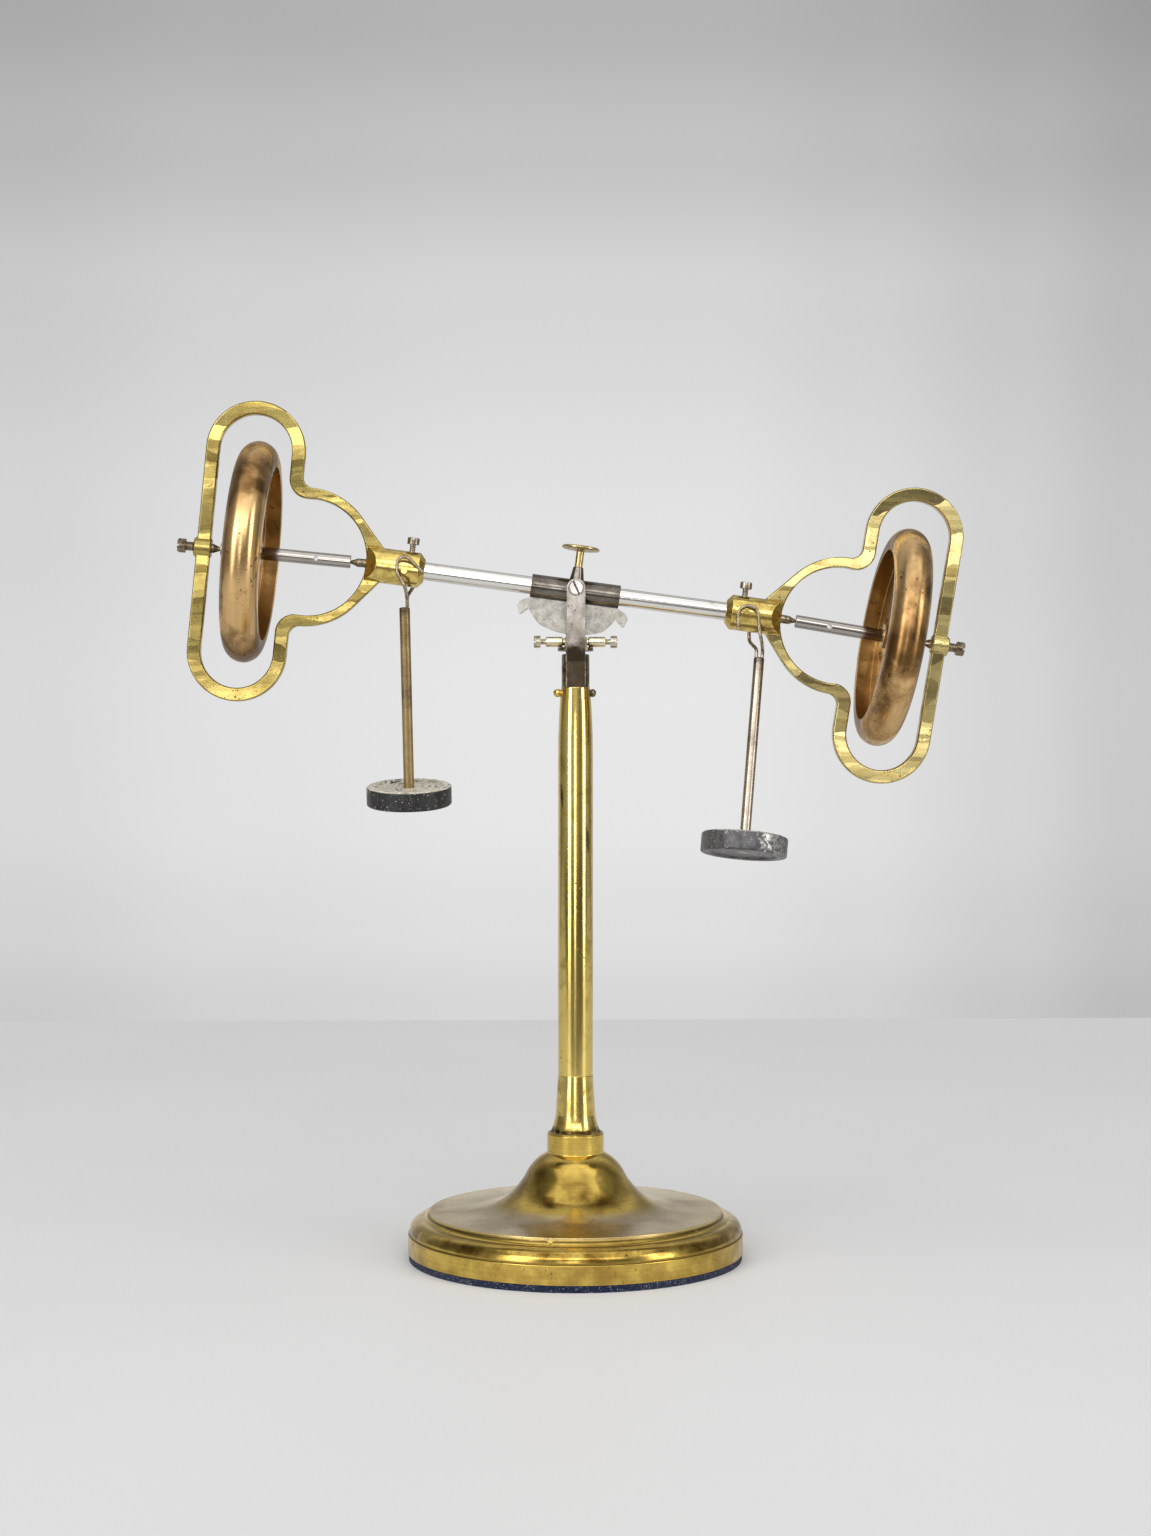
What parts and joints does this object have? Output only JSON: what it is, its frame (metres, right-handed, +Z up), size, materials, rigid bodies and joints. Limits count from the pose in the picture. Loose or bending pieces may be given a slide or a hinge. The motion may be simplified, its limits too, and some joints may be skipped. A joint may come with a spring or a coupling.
{
  "type": "gyroscope on stand",
  "caption": "Two rotors in open frames on a balanced beam that tilts and swivels on a round weighted stand, with hanging weights.",
  "frame": {"origin": "centre of the underside of the round foot, on the table", "axes": "+Z up along the column, X in the plane of the beam as pictured with its low end towards +X, +Y away from the camera"},
  "size_m": [0.3597, 0.1524, 0.3895],
  "materials": {
    "base_brass": "aged satin brass, brown in the recesses",
    "brass": "polished lacquered brass, worn",
    "rotor_brass": "dark bronzed brass, turned",
    "steel": "bright satin steel",
    "dark_steel": "browned steel",
    "black_paint": "worn black paint over steel",
    "felt": "dark blue felt"
  },
  "bodies": {
    "stand": {"base_felt": "felt", "base_casting": "base_brass", "base_washer": "dark_steel", "base_nut": "dark_steel", "stem_ferrule": "brass", "column_tube": "brass", "column_bush": "brass", "bush_screw_left": "brass", "bush_screw_right": "dark_steel"},
    "yoke": {"yoke_block": "dark_steel", "yoke_arm_front": "steel", "yoke_arm_rear": "steel", "yoke_bridge": "dark_steel", "stop_post_left": "brass", "stop_post_right": "brass", "pivot_screw_front": "dark_steel", "pivot_screw_rear": "dark_steel"},
    "stop_screw_l": {"stop_screw_left": "brass"},
    "stop_screw_r": {"stop_screw_right": "brass"},
    "rocker": {"tilt_sleeve": "steel", "quadrant_plate": "steel"},
    "knob": {"clamp_knob": "brass"},
    "beam": {"beam_rod": "steel", "left_frame": "brass", "left_socket": "brass", "left_inner_pivot": "dark_steel", "left_outer_pivot_screw": "dark_steel", "left_set_screw": "brass", "left_hook_pegs": "brass", "right_frame": "brass", "right_socket": "brass", "right_inner_pivot": "dark_steel", "right_outer_pivot_screw": "dark_steel", "right_set_screw": "brass", "right_hook_pegs": "brass"},
    "left_rotor_body": {"left_rotor": "rotor_brass", "left_axle": "steel"},
    "left_weight": {"left_weight_rod": "brass", "left_weight_hooks": "dark_steel", "left_weight_disc": "black_paint"},
    "right_rotor_body": {"right_rotor": "rotor_brass", "right_axle": "steel"},
    "right_weight": {"right_weight_rod": "brass", "right_weight_hooks": "dark_steel", "right_weight_disc": "black_paint"}
  },
  "joints": [
    {"name": "yoke_swivel", "type": "hinge", "parent": "stand", "child": "yoke", "pos_m": [0, 0, 0.2595], "axis": [0, 0, 1], "continuous": true},
    {"name": "beam_tilt", "type": "hinge", "parent": "yoke", "child": "rocker", "pos_m": [0, 0, 0.30435], "axis": [0, 1, 0], "range_deg": [-23.3, 8.7]},
    {"name": "knob_turn", "type": "hinge", "parent": "rocker", "child": "knob", "pos_m": [0, 0, 0.30435], "axis": [0.1297, 0, 0.9916], "continuous": true},
    {"name": "rod_slide", "type": "slide", "parent": "rocker", "child": "beam", "axis": [0.9916, 0, -0.1297], "range_m": [-0.02, 0.02]},
    {"name": "stop_screw_left_turn", "type": "hinge", "parent": "yoke", "child": "stop_screw_l", "pos_m": [-0.0136, 0, 0.28035], "axis": [-1, 0, 0], "continuous": true},
    {"name": "stop_screw_right_turn", "type": "hinge", "parent": "yoke", "child": "stop_screw_r", "pos_m": [0.0136, 0, 0.28035], "axis": [1, 0, 0], "continuous": true},
    {"name": "left_rotor_spin", "type": "hinge", "parent": "beam", "child": "left_rotor_body", "pos_m": [-0.14727, 0, 0.32087], "axis": [-0.9955, 0, 0.095], "continuous": true},
    {"name": "left_weight_swing", "type": "hinge", "parent": "beam", "child": "left_weight", "pos_m": [-0.0777, 0, 0.31169], "axis": [0, -1, 0], "range_deg": [-25, 20]},
    {"name": "right_rotor_spin", "type": "hinge", "parent": "beam", "child": "right_rotor_body", "pos_m": [0.14528, 0, 0.28261], "axis": [0.9864, 0, -0.1642], "continuous": true},
    {"name": "right_weight_swing", "type": "hinge", "parent": "beam", "child": "right_weight", "pos_m": [0.07728, 0, 0.29374], "axis": [0, -1, 0], "range_deg": [-23, 10]}
  ]
}
